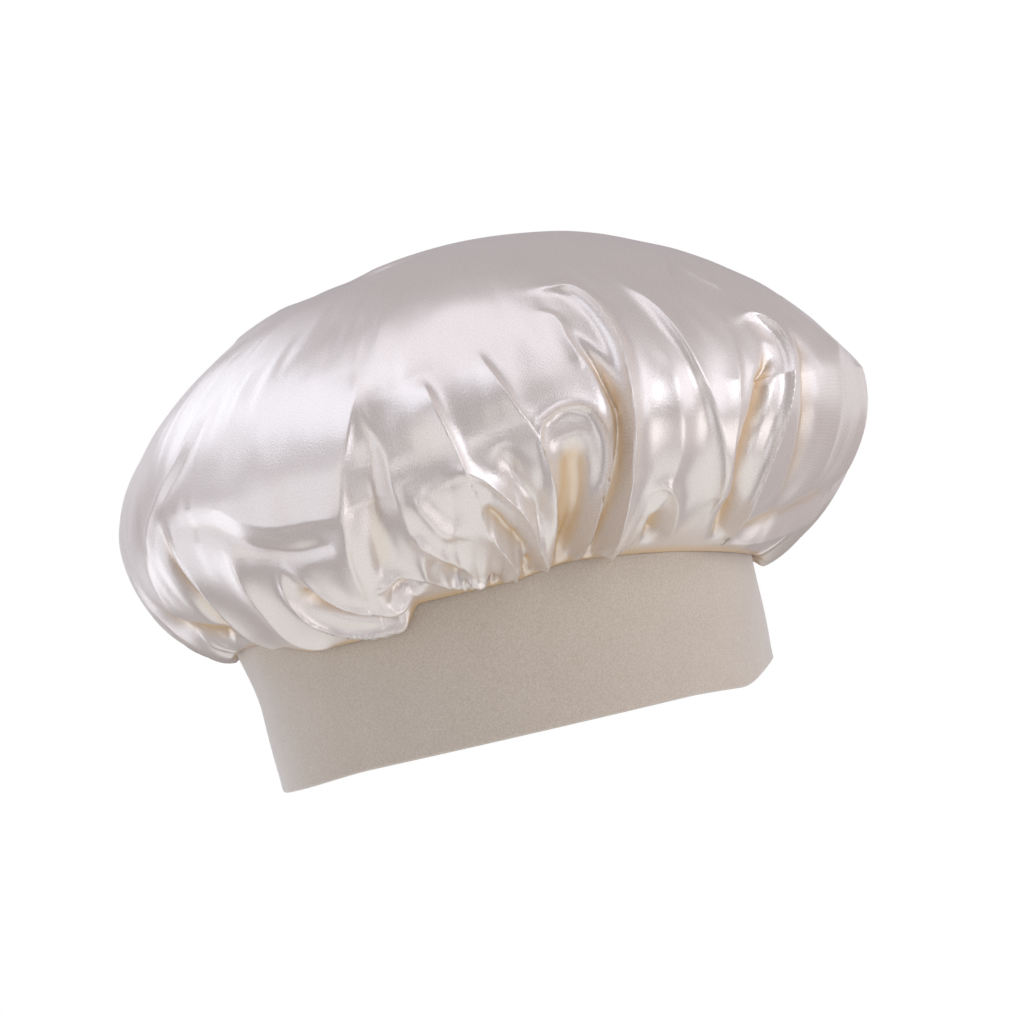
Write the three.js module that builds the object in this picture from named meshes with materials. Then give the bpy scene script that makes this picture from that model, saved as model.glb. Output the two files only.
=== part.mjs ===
// A sleep bonnet in the shape it has when worn: a full satin crown gathered onto a wide jersey band.
// Millimetres. +Z goes up through the crown, +X towards the forehead, and the origin is the middle
// of the opening at the band's lower edge. The photographed side is the one at -Y.

import * as THREE from 'three';

// The band: two layers of jersey, turned over at the lower edge.
const RIM_LENGTH = 194;
const RIM_WIDTH = 158;
const BAND_HEIGHT = 61;
const BAND_WALL = 2.2;
const BAND_FLARE = 1.6;       // each side stands this much further out at the top than at the rim
const NAPE_FLARE = 1.8;       // and the nape this much more
const FOREHEAD_LIFT = 8;      // the rim's rounded corner at the forehead
const HEM_SWELL = 0.5;        // the turned-over edge is this much thicker, out and in

// The crown: one round of satin, drawn in at its edge.
const CROWN_LENGTH = 289;
const CROWN_WIDTH = 272;
const CROWN_RISE = 129.5;     // its top above the band's top edge
const CROWN_WALL = 1.6;
const BULGE_SHIFT = 8;        // its widest line lies this far towards the forehead
const TOP_SHIFT = 16;         // and its highest point this far
const BULGE_RISE = 43.5;      // the widest line above the band's top edge
const BULGE_TILT = 2.5;       // and how much it climbs towards the forehead
const HANG_LEAST = 1.5;       // how far the crown hangs below the seam all round
const HANG_FOREHEAD = 15.5;   // how much further it hangs at the forehead
const HANG_NAPE = 6.5;        // and at the nape
const TOP_FULLNESS = 1.66;    // 2 is a round dome, 1 a cone
const TOP_TILT = 0.2;         // less fullness towards the forehead, more towards the nape
const UNDER_FULLNESS = 0.86;  // of the underside, 1 is round
const UNDER_SLACK = 0.12;     // less of it at the forehead and the nape
const LEAVE_ANGLE = 28;       // how steeply the cloth leaves the seam between them, in degrees
const SEAM_GAP = 0.3;         // clear height between the crown's edge and the band's
const LIP_GAP = 0.8;          // clear width between the hanging lip and the band

// The cloth's fullness: how deep and wide the folds and gathers are.
const FOLD_DEPTH = 8;
const FOLD_WIDTH = 10;
const GATHER_DEPTH = 1.3;
const MOST_RISE = 1.1;        // shares of the fold depth that folds may reach together
const MOST_SINK = 1.3;
const MERIDIAN_LENGTH = 246;  // cloth from the top to the seam

// Where the widest line lies on the way from the top, 0, to the seam, 1.
const BULGE_SHARE = 0.7;

// On that way the gathers grow between the first two shares, and all folds die out after the third.
const GATHERS_START = 0.72;
const GATHERS_FULL = 0.95;
const FOLDS_END = 0.9;

// The mesh: two columns to a gather, finer on the side with the drawn folds.
const SHOWN_FROM = 192;
const SHOWN_TO = 348;
const SHOWN_GATHERS = 33;
const PLAIN_GATHERS = 21;
const SMOOTH_ROWS = [0.08, 0.17, 0.26, 0.34];
const FOLDED_ROWS = [
  0.4, 0.455, 0.505, 0.55, 0.595, 0.64, 0.685, 0.73, 0.775, 0.82, 0.86, 0.9, 0.935, 0.968, 1,
];
const BAND_COLUMNS = 72;
const BAND_ROWS = 5;
const HEM_SHARE = 0.06;       // of the band's height, the turned-over edge
const LEAST_AGREEMENT = 0.75; // how far a bend may lengthen the way through the wall

// Folds of the photographed side. Each runs through three places, given by azimuth in degrees and
// share of the way from the top to the seam. Height is a share of FOLD_DEPTH, negative for a
// valley. Before and after are the half widths towards smaller and larger azimuths, shares of
// FOLD_WIDTH.
const FOLD_COLUMNS = ['name', 'top', 'middle', 'foot', 'height', 'before', 'after'];
const SHOWN_FOLDS = [
  ['far nape ridge', [201, 0.66], [206, 0.82], [204, 0.97], 0.4, 0.9, 0.8],
  ['nape valley', [208, 0.62], [212, 0.78], [213, 0.98], -0.5, 0.7, 0.7],
  ['nape ridge', [213, 0.62], [217.5, 0.8], [219, 0.98], 0.6, 0.7, 1.1],
  ['soft nape ridge', [225, 0.68], [228.5, 0.84], [224, 0.98], 0.4, 1, 1],
  ['loop upper rim', [234, 0.77], [239.5, 0.87], [247, 0.94], 0.5, 0.7, 0.8],
  ['loop hollow', [236, 0.84], [240, 0.93], [251, 0.985], -0.7, 0.6, 0.6],
  ['loop lower rim', [232, 0.82], [236, 0.93], [245, 0.99], 0.5, 0.8, 0.6],
  ['upright ridge', [251.5, 0.5], [249.5, 0.72], [246, 0.93], 0.7, 1.2, 0.6],
  ['upright shadow', [254, 0.56], [252.5, 0.72], [251, 0.9], -0.5, 0.5, 0.9],
  ['leaning ridge', [255, 0.56], [257, 0.76], [260, 0.98], 0.4, 0.6, 0.8],
  ['knob ridge', [257, 0.82], [263, 0.89], [270, 0.97], 0.6, 0.6, 0.7],
  ['thick ridge', [262, 0.52], [266.5, 0.76], [278, 0.97], 0.7, 1, 0.7],
  ['thick ridge hollow', [263.5, 0.76], [269, 0.86], [274.5, 0.97], -0.8, 0.6, 0.6],
  ['sharp ridge', [270, 0.48], [275, 0.72], [281.5, 0.97], 0.6, 1, 0.6],
  ['arch left leg', [282, 0.655], [277.5, 0.7], [277.5, 0.82], 0.4, 0.5, 0.5],
  ['arch right leg', [281, 0.655], [286, 0.74], [286.5, 0.95], 0.6, 0.6, 0.5],
  ['arch hollow', [282.5, 0.7], [282, 0.82], [283.5, 0.96], -0.8, 0.6, 0.5],
  ['slit', [289, 0.6], [288, 0.77], [290, 0.96], -0.75, 0.7, 0.6],
  ['great ridge', [283, 0.38], [293.5, 0.56], [291, 0.92], 1, 0.7, 1.3],
  ['great ridge facet', [285, 0.43], [287.5, 0.55], [290.5, 0.64], -0.4, 0.8, 0.6],
  ['soft front ridge', [296, 0.5], [295, 0.7], [297, 0.9], 0.3, 0.8, 1],
  ['dimple', [295, 0.82], [297.5, 0.88], [299.5, 0.94], -0.6, 0.8, 0.8],
  ['fine front ridge', [302, 0.44], [302, 0.66], [309, 0.93], 0.5, 0.7, 1.1],
  ['deep valley', [314, 0.5], [311.5, 0.74], [312, 0.94], -0.9, 1, 0.8],
  ['deep valley ridge', [319, 0.48], [317, 0.7], [315, 0.92], 0.8, 0.6, 0.9],
  ['forehead step', [323, 0.54], [320.5, 0.7], [318, 0.86], -0.4, 0.5, 0.7],
  ['forehead ridge', [338, 0.5], [331.5, 0.66], [329, 0.84], 0.5, 0.9, 0.9],
  ['far forehead ridge', [337, 0.62], [339, 0.74], [338, 0.88], 0.35, 0.7, 0.9],
  ['tucked valley', [308, 0.93], [322, 0.91], [338, 0.87], -0.7, 0.7, 0.7],
  ['hanging lip', [318, 0.985], [328, 0.97], [340, 0.93], 0.5, 0.8, 0.8],
  ['shoulder flat', [350, 0.3], [352, 0.4], [352, 0.52], -0.55, 3, 3],
  ['shoulder corner', [332, 0.43], [352, 0.53], [372, 0.56], 0.35, 0.9, 0.9],
];

// Plain folds of the hidden side, spread evenly with small wanderings. Each is a ridge with a valley
// beside it.
const PLAIN_FOLDS = 17;
const PLAIN_TOP = 0.54;       // where a ridge starts on the way down, and how much that varies
const PLAIN_TOP_VARIES = 0.08;
const PLAIN_FOOT = 0.97;
const PLAIN_VALLEY = 4.5;     // degrees from a ridge to its valley
const PLAIN_LEAN = 5;         // degrees
const PLAIN_WANDER = 3;       // degrees

const radians = THREE.MathUtils.degToRad;
const smooth = (from, to, value) => THREE.MathUtils.smoothstep(value, from, to);

const SEAM_HEIGHT = BAND_HEIGHT + SEAM_GAP;

// A point of the band's upright wall at an azimuth, a share of the way up, and a distance out from
// its outer face.
function bandPoint(azimuth, up, out) {
  const cos = Math.cos(radians(azimuth));
  const sin = Math.sin(radians(azimuth));
  const flare = (BAND_FLARE + NAPE_FLARE * smooth(0.2, 1, -cos)) * up + out;
  const rim = rimHeight(cos);
  return new THREE.Vector3(
    (RIM_LENGTH / 2 + flare) * cos,
    (RIM_WIDTH / 2 + flare) * sin,
    rim + (BAND_HEIGHT - rim) * up,
  );
}

// Height of the band's lower edge: level, with a rounded corner at the forehead.
function rimHeight(cos) {
  return FOREHEAD_LIFT * smooth(0.75, 1.05, cos);
}

function hiddenFolds() {
  const start = SHOWN_TO - 360;
  const span = SHOWN_FROM - start;
  const folds = [];
  for (let i = 0; i < PLAIN_FOLDS; i += 1) {
    const azimuth = start + span * (i + 0.5) / PLAIN_FOLDS + PLAIN_WANDER * Math.sin(i * 2.4);
    const lean = PLAIN_LEAN * Math.sin(i * 1.7 + 1);
    const size = 0.75 + 0.25 * Math.sin(i * 3.1 + 0.5);
    const from = PLAIN_TOP + PLAIN_TOP_VARIES * Math.sin(i * 2.9);
    folds.push({
      name: `plain ridge ${i + 1}`,
      top: [azimuth - lean, from],
      middle: [azimuth, 0.5 * (from + PLAIN_FOOT)],
      foot: [azimuth + 0.3 * lean, PLAIN_FOOT],
      height: 0.9 * size,
      before: 0.9,
      after: 1.2,
    });
    folds.push({
      name: `plain valley ${i + 1}`,
      top: [azimuth + PLAIN_VALLEY - lean, from + 0.08],
      middle: [azimuth + PLAIN_VALLEY, 0.55 * (from + PLAIN_FOOT)],
      foot: [azimuth + PLAIN_VALLEY + 0.3 * lean, PLAIN_FOOT - 0.02],
      height: -0.55 * size,
      before: 0.9,
      after: 0.8,
    });
  }
  return folds;
}

// The smooth form of the crown, without folds, at an azimuth and a share of the way down.
function smoothCrown(azimuth, share) {
  const cos = Math.cos(radians(azimuth));
  const sin = Math.sin(radians(azimuth));
  const wide = { x: BULGE_SHIFT + CROWN_LENGTH / 2 * cos, y: CROWN_WIDTH / 2 * sin };
  const wideHeight = BAND_HEIGHT + BULGE_RISE + BULGE_TILT * cos;
  if (share <= BULGE_SHARE) {
    const reach = Math.sin(share / BULGE_SHARE * Math.PI / 2);
    const power = TOP_FULLNESS - TOP_TILT * cos;
    const topHeight = BAND_HEIGHT + CROWN_RISE;
    return new THREE.Vector3(
      TOP_SHIFT * (1 - reach) + wide.x * reach,
      wide.y * reach,
      wideHeight + (topHeight - wideHeight) * Math.max(0, 1 - reach ** 2) ** (1 / power),
    );
  }
  const wholeTurn = radians(90 - LEAVE_ANGLE * sin ** 2);
  const turn = (share - BULGE_SHARE) / (1 - BULGE_SHARE) * wholeTurn;
  const roundness = UNDER_FULLNESS - UNDER_SLACK * cos ** 2;
  const left = (Math.cos(turn) - Math.cos(wholeTurn)) / (1 - Math.cos(wholeTurn));
  const out = Math.max(0, left) ** (1 / roundness);
  const lowest = SEAM_HEIGHT - hang(cos);
  const lip = bandPoint(azimuth, 1, LIP_GAP);
  return new THREE.Vector3(
    lip.x + (wide.x - lip.x) * out,
    lip.y + (wide.y - lip.y) * out,
    wideHeight - (wideHeight - lowest) * Math.sin(turn) / Math.sin(wholeTurn),
  );
}

// How far the crown hangs below the seam: most at the forehead, and in a soft lip from the middle of
// the sides to the nape.
function hang(cos) {
  const forehead = HANG_FOREHEAD * Math.max(0, cos) ** 2;
  const nape = HANG_NAPE * smooth(-0.3, -0.05, -cos);
  return HANG_LEAST + forehead + nape;
}

function outwardDirection(azimuth, share) {
  const step = 0.004;
  const low = Math.max(step, share - step);
  const high = Math.min(1, share + step);
  const down = smoothCrown(azimuth, high).sub(smoothCrown(azimuth, low));
  const along = smoothCrown(azimuth + 0.2, (low + high) / 2)
    .sub(smoothCrown(azimuth - 0.2, (low + high) / 2));
  return down.cross(along).normalize();
}

// The places along a fold: a curve through its three places, as [azimuth, share] pairs.
function foldPlaces(fold) {
  const steps = 8;
  const places = [];
  for (let i = 0; i <= steps; i += 1) {
    const t = i / steps;
    const weights = [2 * (t - 0.5) * (t - 1), 4 * t * (1 - t), 2 * t * (t - 0.5)];
    places.push([0, 1].map((k) => (
      weights[0] * fold.top[k] + weights[1] * fold.middle[k] + weights[2] * fold.foot[k]
    )));
  }
  return places;
}

function shownFolds() {
  return SHOWN_FOLDS.map((row) => (
    Object.fromEntries(FOLD_COLUMNS.map((column, i) => [column, row[i]]))
  ));
}

const FOLDS = [...shownFolds(), ...hiddenFolds()]
  .map((fold) => ({ ...fold, places: foldPlaces(fold) }));

// How far one fold lifts or sinks the cloth at a place, in millimetres.
function foldLift(fold, azimuth, share, radius) {
  const perDegree = radians(1) * radius;
  let nearest = { distance: Infinity, side: 1, along: 0 };
  for (let i = 0; i + 1 < fold.places.length; i += 1) {
    const [a, b] = [fold.places[i], fold.places[i + 1]];
    const turn = THREE.MathUtils.euclideanModulo(azimuth - a[0] + 180, 360) - 180;
    const across = turn * perDegree;
    const down = (share - a[1]) * MERIDIAN_LENGTH;
    const wayAcross = (b[0] - a[0]) * perDegree;
    const wayDown = (b[1] - a[1]) * MERIDIAN_LENGTH;
    const length2 = wayAcross ** 2 + wayDown ** 2;
    const t = THREE.MathUtils.clamp((across * wayAcross + down * wayDown) / length2, 0, 1);
    const distance = Math.hypot(across - t * wayAcross, down - t * wayDown);
    if (distance < nearest.distance) {
      const side = Math.sign(wayAcross * down - wayDown * across) || 1;
      nearest = { distance, side, along: (i + t) / (fold.places.length - 1) };
    }
  }
  const halfWidth = FOLD_WIDTH * (nearest.side > 0 ? fold.before : fold.after);
  const apart = nearest.distance / halfWidth;
  if (apart >= 1) return 0;
  const ends = smooth(-0.02, 0.4, nearest.along) * (1 - smooth(0.8, 1.1, nearest.along));
  return FOLD_DEPTH * fold.height * ends * (1 - apart ** 2) ** 2;
}

// Azimuth of each column of the crown's mesh, shown side first.
function crownAzimuths() {
  const azimuths = [];
  const shownStep = (SHOWN_TO - SHOWN_FROM) / (2 * SHOWN_GATHERS);
  const plainStep = (360 - SHOWN_TO + SHOWN_FROM) / (2 * PLAIN_GATHERS);
  for (let i = 0; i < 2 * SHOWN_GATHERS; i += 1) azimuths.push(SHOWN_FROM + i * shownStep);
  for (let i = 0; i < 2 * PLAIN_GATHERS; i += 1) azimuths.push(SHOWN_TO + i * plainStep);
  return azimuths;
}

// A point of the crown's outer face.
function crownPoint(azimuth, share, column) {
  const point = smoothCrown(azimuth, share);
  const radius = Math.hypot(point.x - BULGE_SHIFT * (1 - share), point.y);
  let lift = 0;
  for (const fold of FOLDS) lift += foldLift(fold, azimuth, share, radius);
  lift = THREE.MathUtils.clamp(lift, -MOST_SINK * FOLD_DEPTH, MOST_RISE * FOLD_DEPTH);
  const gather = (column % 2 ? -1 : 1) * GATHER_DEPTH
    * smooth(GATHERS_START, GATHERS_FULL, share);
  const settled = 1 - smooth(FOLDS_END, 1, share);
  return point.addScaledVector(outwardDirection(azimuth, share), (lift + gather) * settled);
}

// The crown's outer face as rings of points from just below the top to the seam's inner edge.
function crownRings() {
  const azimuths = crownAzimuths();
  const rings = SMOOTH_ROWS.map((share) => azimuths
    .filter((azimuth, column) => column % 2 === 0)
    .map((azimuth) => crownPoint(azimuth, share, 0)));
  for (const share of FOLDED_ROWS) {
    rings.push(azimuths.map((azimuth, column) => crownPoint(azimuth, share, column)));
  }
  for (const out of [LIP_GAP * 0.7, -BAND_WALL]) {
    rings.push(azimuths.map((azimuth) => bandPoint(azimuth, 1, out).setZ(SEAM_HEIGHT)));
  }
  return rings;
}

// Triangles between two rings of points. The first one may have half as many as the second.
function joinRings(triangles, upper, lower, flip) {
  const add = (a, b, c) => triangles.push(flip ? [a, c, b] : [a, b, c]);
  const count = upper.length;
  for (let i = 0; i < count; i += 1) {
    const next = (i + 1) % count;
    if (lower.length === count) {
      add(upper[i], lower[i], lower[next]);
      add(upper[i], lower[next], upper[next]);
    } else {
      const middle = 2 * i + 1;
      const last = (2 * i + 2) % lower.length;
      add(upper[i], lower[2 * i], lower[middle]);
      add(upper[i], lower[middle], upper[next]);
      add(upper[next], lower[middle], lower[last]);
    }
  }
}

// Direction out of the cloth at each point, longer where the cloth bends so the wall keeps its
// thickness.
function wallDirections(points, triangles) {
  const sums = points.map(() => new THREE.Vector3());
  const weights = points.map(() => 0);
  for (const triangle of triangles) {
    const [a, b, c] = triangle.map((index) => points[index]);
    const face = b.clone().sub(a).cross(c.clone().sub(a)).normalize();
    triangle.forEach((index, k) => {
      const here = points[index];
      const angle = points[triangle[(k + 1) % 3]].clone().sub(here)
        .angleTo(points[triangle[(k + 2) % 3]].clone().sub(here));
      sums[index].addScaledVector(face, angle);
      weights[index] += angle;
    });
  }
  return sums.map((sum, i) => {
    const agreement = sum.length() / weights[i];
    return sum.normalize().multiplyScalar(1 / Math.max(LEAST_AGREEMENT, agreement));
  });
}

function meshFrom(name, points, triangles, material) {
  const geometry = new THREE.BufferGeometry();
  const positions = points.flatMap((point) => point.toArray());
  geometry.setAttribute('position', new THREE.Float32BufferAttribute(positions, 3));
  geometry.setIndex(triangles.flat());
  geometry.computeVertexNormals();
  const mesh = new THREE.Mesh(geometry, material);
  mesh.name = name;
  return mesh;
}

function makeCrown() {
  const rings = crownRings();
  const points = [new THREE.Vector3(TOP_SHIFT, 0, BAND_HEIGHT + CROWN_RISE)];
  const numbers = rings.map((ring) => ring.map((point) => points.push(point) - 1));
  const outer = [];
  const first = numbers[0];
  first.forEach((number, i) => outer.push([0, number, first[(i + 1) % first.length]]));
  for (let i = 0; i + 1 < numbers.length; i += 1) joinRings(outer, numbers[i], numbers[i + 1], false);

  const count = points.length;
  const directions = wallDirections(points, outer);
  const inner = points.map((point, i) => point.clone().addScaledVector(directions[i], -CROWN_WALL));
  const triangles = [...outer];
  outer.forEach(([a, b, c]) => triangles.push([a + count, c + count, b + count]));
  const edge = numbers[numbers.length - 1];
  joinRings(triangles, edge, edge.map((number) => number + count), false);

  const satin = new THREE.MeshStandardMaterial({ color: 0xd9cfc6, roughness: 0.35, metalness: 0 });
  return meshFrom('crown', [...points, ...inner], triangles, satin);
}

// One upright section of the band, out from its middle line, from the rim up the outside and back
// down the inside.
function bandSection() {
  const half = BAND_WALL / 2;
  const swell = half + HEM_SWELL;
  const section = [
    { out: 0, up: 0 },
    { out: 0.75 * swell, up: 0.25 * HEM_SHARE },
    { out: swell, up: HEM_SHARE },
  ];
  for (let i = 1; i <= BAND_ROWS; i += 1) {
    section.push({ out: half, up: HEM_SHARE + (1 - HEM_SHARE) * i / BAND_ROWS });
  }
  for (let i = BAND_ROWS; i >= 1; i -= 1) {
    section.push({ out: -half, up: HEM_SHARE + (1 - HEM_SHARE) * i / BAND_ROWS });
  }
  section.push({ out: -swell, up: HEM_SHARE });
  section.push({ out: -0.75 * swell, up: 0.25 * HEM_SHARE });
  return section;
}

function makeBand() {
  const section = bandSection();
  const points = [];
  const triangles = [];
  for (let column = 0; column < BAND_COLUMNS; column += 1) {
    const azimuth = column / BAND_COLUMNS * 360;
    for (const { out, up } of section) points.push(bandPoint(azimuth, up, out - BAND_WALL / 2));
  }
  const number = (column, row) => (column % BAND_COLUMNS) * section.length + row % section.length;
  for (let column = 0; column < BAND_COLUMNS; column += 1) {
    for (let row = 0; row < section.length; row += 1) {
      const a = number(column, row);
      const b = number(column + 1, row);
      const c = number(column + 1, row + 1);
      const d = number(column, row + 1);
      triangles.push([a, b, c], [a, c, d]);
    }
  }
  const jersey = new THREE.MeshStandardMaterial({ color: 0xcfc2b4, roughness: 0.95, metalness: 0 });
  return meshFrom('band', points, triangles, jersey);
}

const bonnet = new THREE.Group();
bonnet.add(makeBand(), makeCrown());

export default bonnet;
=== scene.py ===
# A champagne satin sleep bonnet, held up in the shape it has when worn: a round of satin gathered
# onto a wide double band of jersey. Lengths are in millimetres until a mesh is made; the lamps and
# the floor are in metres.

import bpy
import math
from mathutils import Matrix, noise
import numpy as np


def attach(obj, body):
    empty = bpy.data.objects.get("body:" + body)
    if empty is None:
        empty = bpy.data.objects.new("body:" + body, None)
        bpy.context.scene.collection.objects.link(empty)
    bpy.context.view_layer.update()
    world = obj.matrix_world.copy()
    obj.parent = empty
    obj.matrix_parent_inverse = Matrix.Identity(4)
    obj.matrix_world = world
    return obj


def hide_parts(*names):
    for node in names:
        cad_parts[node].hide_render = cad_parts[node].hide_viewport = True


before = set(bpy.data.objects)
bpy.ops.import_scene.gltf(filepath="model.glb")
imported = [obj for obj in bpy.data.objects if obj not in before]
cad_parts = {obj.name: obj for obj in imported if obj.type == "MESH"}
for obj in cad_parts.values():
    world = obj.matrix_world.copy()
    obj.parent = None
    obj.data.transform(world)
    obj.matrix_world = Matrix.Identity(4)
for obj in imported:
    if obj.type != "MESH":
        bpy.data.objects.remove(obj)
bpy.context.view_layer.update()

MM = 0.001

# The band. The swell, the rise and the lift are this scene's own, the rest is as in its solid.
RIM_LENGTH, RIM_WIDTH = 194, 158
BAND_HEIGHT = 61
BAND_WALL = 2.2
BAND_FLARE, NAPE_FLARE = 1.6, 1.8
NAPE_SWELL = 3.2              # the band stands out under the crown at the nape
EDGE_RISE = 2.0               # its lower edge is drawn up a little over the ear
FOREHEAD_LIFT = 9.5           # and towards the forehead, where 7.8 of this is reached
BAND_COLUMNS, BAND_ROWS = 360, 44
HEM_STEPS = 8                 # the rounded lower edge, from its lowest line out to the face
HEM_SHARE = 0.022             # its height, as a share of the band's
HEM_FULLNESS = 0.25           # how much thicker the turned edge is than the wall above it

# The crown's smooth form, as in its solid but for its edge, which hangs less and droops under
# the large loop.
CROWN_LENGTH, CROWN_WIDTH, CROWN_RISE = 289, 272, 129.5
BULGE_SHIFT, TOP_SHIFT = 8, 16
BULGE_RISE, BULGE_TILT, BULGE_SHARE = 43.5, 2.5, 0.7
HANG_LEAST, HANG_FOREHEAD, HANG_NAPE = 1.5, 12, 3.5
LOOP_DROOP = 8                # the large loop's lip hangs this much lower still
TOP_FULLNESS, TOP_TILT = 1.66, 0.2
UNDER_FULLNESS, UNDER_SLACK, LEAVE_ANGLE = 0.86, 0.12, 28
SEAM_GAP, LIP_GAP = 0.3, 0.8
CLOTH_RADIUS = 246            # the round of satin before it is gathered, a guess

# The sewn edge turns in over the band: shares of the lip's gap and of the band's wall, and the
# height of its inner line over the band.
TUCK_OUT, TUCK_IN, TUCK_RISE = 0.7, 0.8, 0.9
EDGE_CUTS = (1.005, 1.01)     # where those two lines lie on the flat round, as shares of its radius

# The camera of the photograph: low in front of the wearer's side, turned a little.
CAMERA_DISTANCE = 1100
CAMERA_HEIGHT = 18
AIM = (11.1, 0, 87.5)
ROLL = 13
PIXELS_PER_MM = 2.594
PHOTO_WIDTH = 1017
SENSOR = 36
NEAREST_SEEN = 0.05           # metres


def add_camera():
    data = bpy.data.cameras.new("camera")
    data.sensor_fit = "HORIZONTAL"
    data.sensor_width = SENSOR
    data.lens = PIXELS_PER_MM * CAMERA_DISTANCE / PHOTO_WIDTH * SENSOR
    data.clip_start = NEAREST_SEEN
    camera = bpy.data.objects.new("camera", data)
    bpy.context.collection.objects.link(camera)
    place = np.array([AIM[0], -CAMERA_DISTANCE, CAMERA_HEIGHT]) * MM
    forward = np.array(AIM) * MM - place
    forward /= np.linalg.norm(forward)
    right = np.cross(forward, (0, 0, 1))
    right /= np.linalg.norm(right)
    up = np.cross(right, forward)
    turn = math.radians(ROLL)
    x_axis = right * math.cos(turn) - up * math.sin(turn)
    y_axis = right * math.sin(turn) + up * math.cos(turn)
    matrix = np.eye(4)
    matrix[:3, 0] = x_axis
    matrix[:3, 1] = y_axis
    matrix[:3, 2] = -forward
    matrix[:3, 3] = place
    camera.matrix_world = Matrix(matrix.tolist())
    bpy.context.scene.camera = camera


def smooth(low, high, value):
    t = np.clip((value - low) / (high - low), 0, 1)
    return t * t * (3 - 2 * t)


def band_place(azimuth, up, out):
    """A point of the band's wall: share of the way up, and millimetres out from its outer face."""
    cos, sin = np.cos(np.radians(azimuth)), np.sin(np.radians(azimuth))
    flare = (BAND_FLARE + NAPE_FLARE * smooth(0.2, 1, -cos)) * up + out
    flare = flare + NAPE_SWELL * smooth(0.5, 1, up) * smooth(0.7, 1, -cos)
    rim = FOREHEAD_LIFT * smooth(0.84, 1.06, cos) + EDGE_RISE * (1 - smooth(0.6, 0.98, np.abs(cos)))
    height = rim + (BAND_HEIGHT - rim) * up
    return np.stack([(RIM_LENGTH / 2 + flare) * cos, (RIM_WIDTH / 2 + flare) * sin, height], -1)


def smooth_crown(azimuth, share):
    """The crown without folds: azimuth in degrees, share of the way from its top to the seam."""
    cos, sin = np.cos(np.radians(azimuth)), np.sin(np.radians(azimuth))
    wide_x = BULGE_SHIFT + CROWN_LENGTH / 2 * cos
    wide_y = CROWN_WIDTH / 2 * sin
    wide_z = BAND_HEIGHT + BULGE_RISE + BULGE_TILT * cos
    reach = np.sin(np.clip(share / BULGE_SHARE, 0, 1) * math.pi / 2)
    dome = np.clip(1 - reach ** 2, 0, 1) ** (1 / (TOP_FULLNESS - TOP_TILT * cos))
    upper = np.stack([
        TOP_SHIFT * (1 - reach) + wide_x * reach,
        wide_y * reach,
        wide_z + (BAND_HEIGHT + CROWN_RISE - wide_z) * dome,
    ], -1)
    whole = np.radians(90 - LEAVE_ANGLE * sin ** 2)
    turn = np.clip((share - BULGE_SHARE) / (1 - BULGE_SHARE), 0, 1) * whole
    left = np.clip((np.cos(turn) - np.cos(whole)) / (1 - np.cos(whole)), 0, 1)
    out = left ** (1 / (UNDER_FULLNESS - UNDER_SLACK * cos ** 2))
    hang = HANG_LEAST + HANG_FOREHEAD * np.clip(cos, 0, 1) ** 2 + HANG_NAPE * smooth(-0.3, -0.05, -cos)
    hang = hang + LOOP_DROOP * smooth(210, 228, azimuth % 360) * (1 - smooth(249, 254, azimuth % 360))
    lowest = BAND_HEIGHT + SEAM_GAP - hang
    lip = band_place(azimuth, 1.0, LIP_GAP)
    lower = np.stack([
        lip[..., 0] + (wide_x - lip[..., 0]) * out,
        lip[..., 1] + (wide_y - lip[..., 1]) * out,
        wide_z - (wide_z - lowest) * np.sin(turn) / np.sin(whole),
    ], -1)
    return np.where((share <= BULGE_SHARE)[..., None], upper, lower)


def normals_of(azimuth, share):
    """Outward directions of the smooth crown, from places a small step apart."""
    step, step_round = 0.004, 0.2
    high, low = np.clip(share + step, 0, 1), np.clip(share - step, step, 1)
    middle = (high + low) / 2
    down = smooth_crown(azimuth, high) - smooth_crown(azimuth, low)
    along = smooth_crown(azimuth + step_round, middle) - smooth_crown(azimuth - step_round, middle)
    normal = np.cross(down, along)
    return normal / np.maximum(np.linalg.norm(normal, axis=-1, keepdims=True), 1e-9)


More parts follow.
